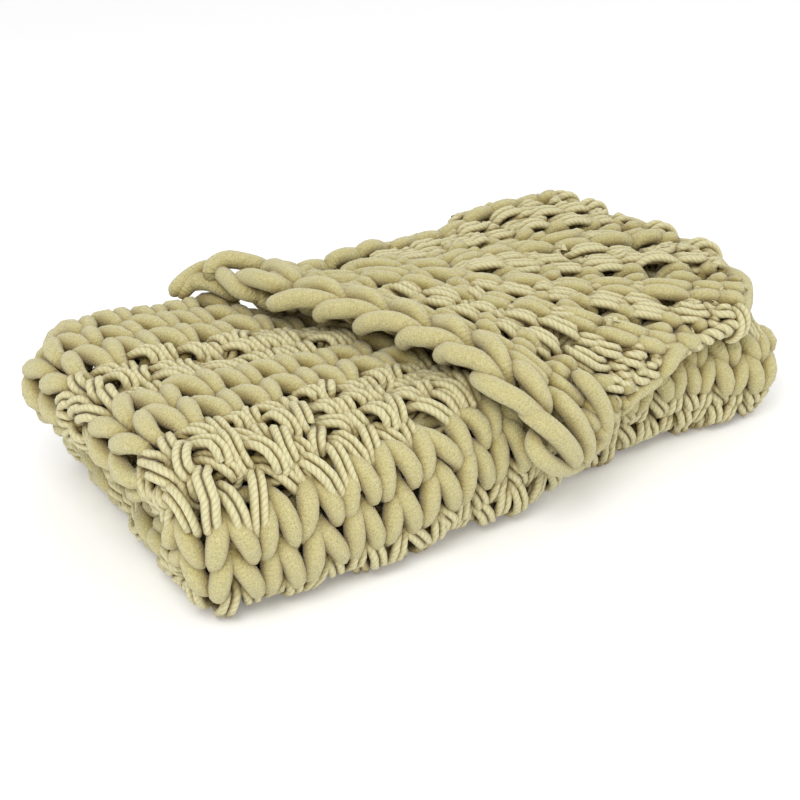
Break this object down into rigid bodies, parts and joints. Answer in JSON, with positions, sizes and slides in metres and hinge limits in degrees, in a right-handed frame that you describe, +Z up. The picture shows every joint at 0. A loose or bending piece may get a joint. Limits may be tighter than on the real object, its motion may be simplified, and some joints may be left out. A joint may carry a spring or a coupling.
{
  "type": "folded chunky knit blanket",
  "caption": "Chunky knit throw folded into a stack, with one corner turned back diagonally over the top.",
  "frame": {"origin": "under the middle of the whole folded blanket, on the surface it lies on", "axes": "+X along the stack, from the folded end to the selvages; the front fold faces -Y; +Z up"},
  "size_m": [0.6332, 0.3505, 0.1609],
  "materials": {
    "yarn": "velvety chenille stripes between stripes of twisted cord, pale sage green"
  },
  "bodies": {
    "root": {"knit_blanket": "yarn"}
  },
  "joints": []
}
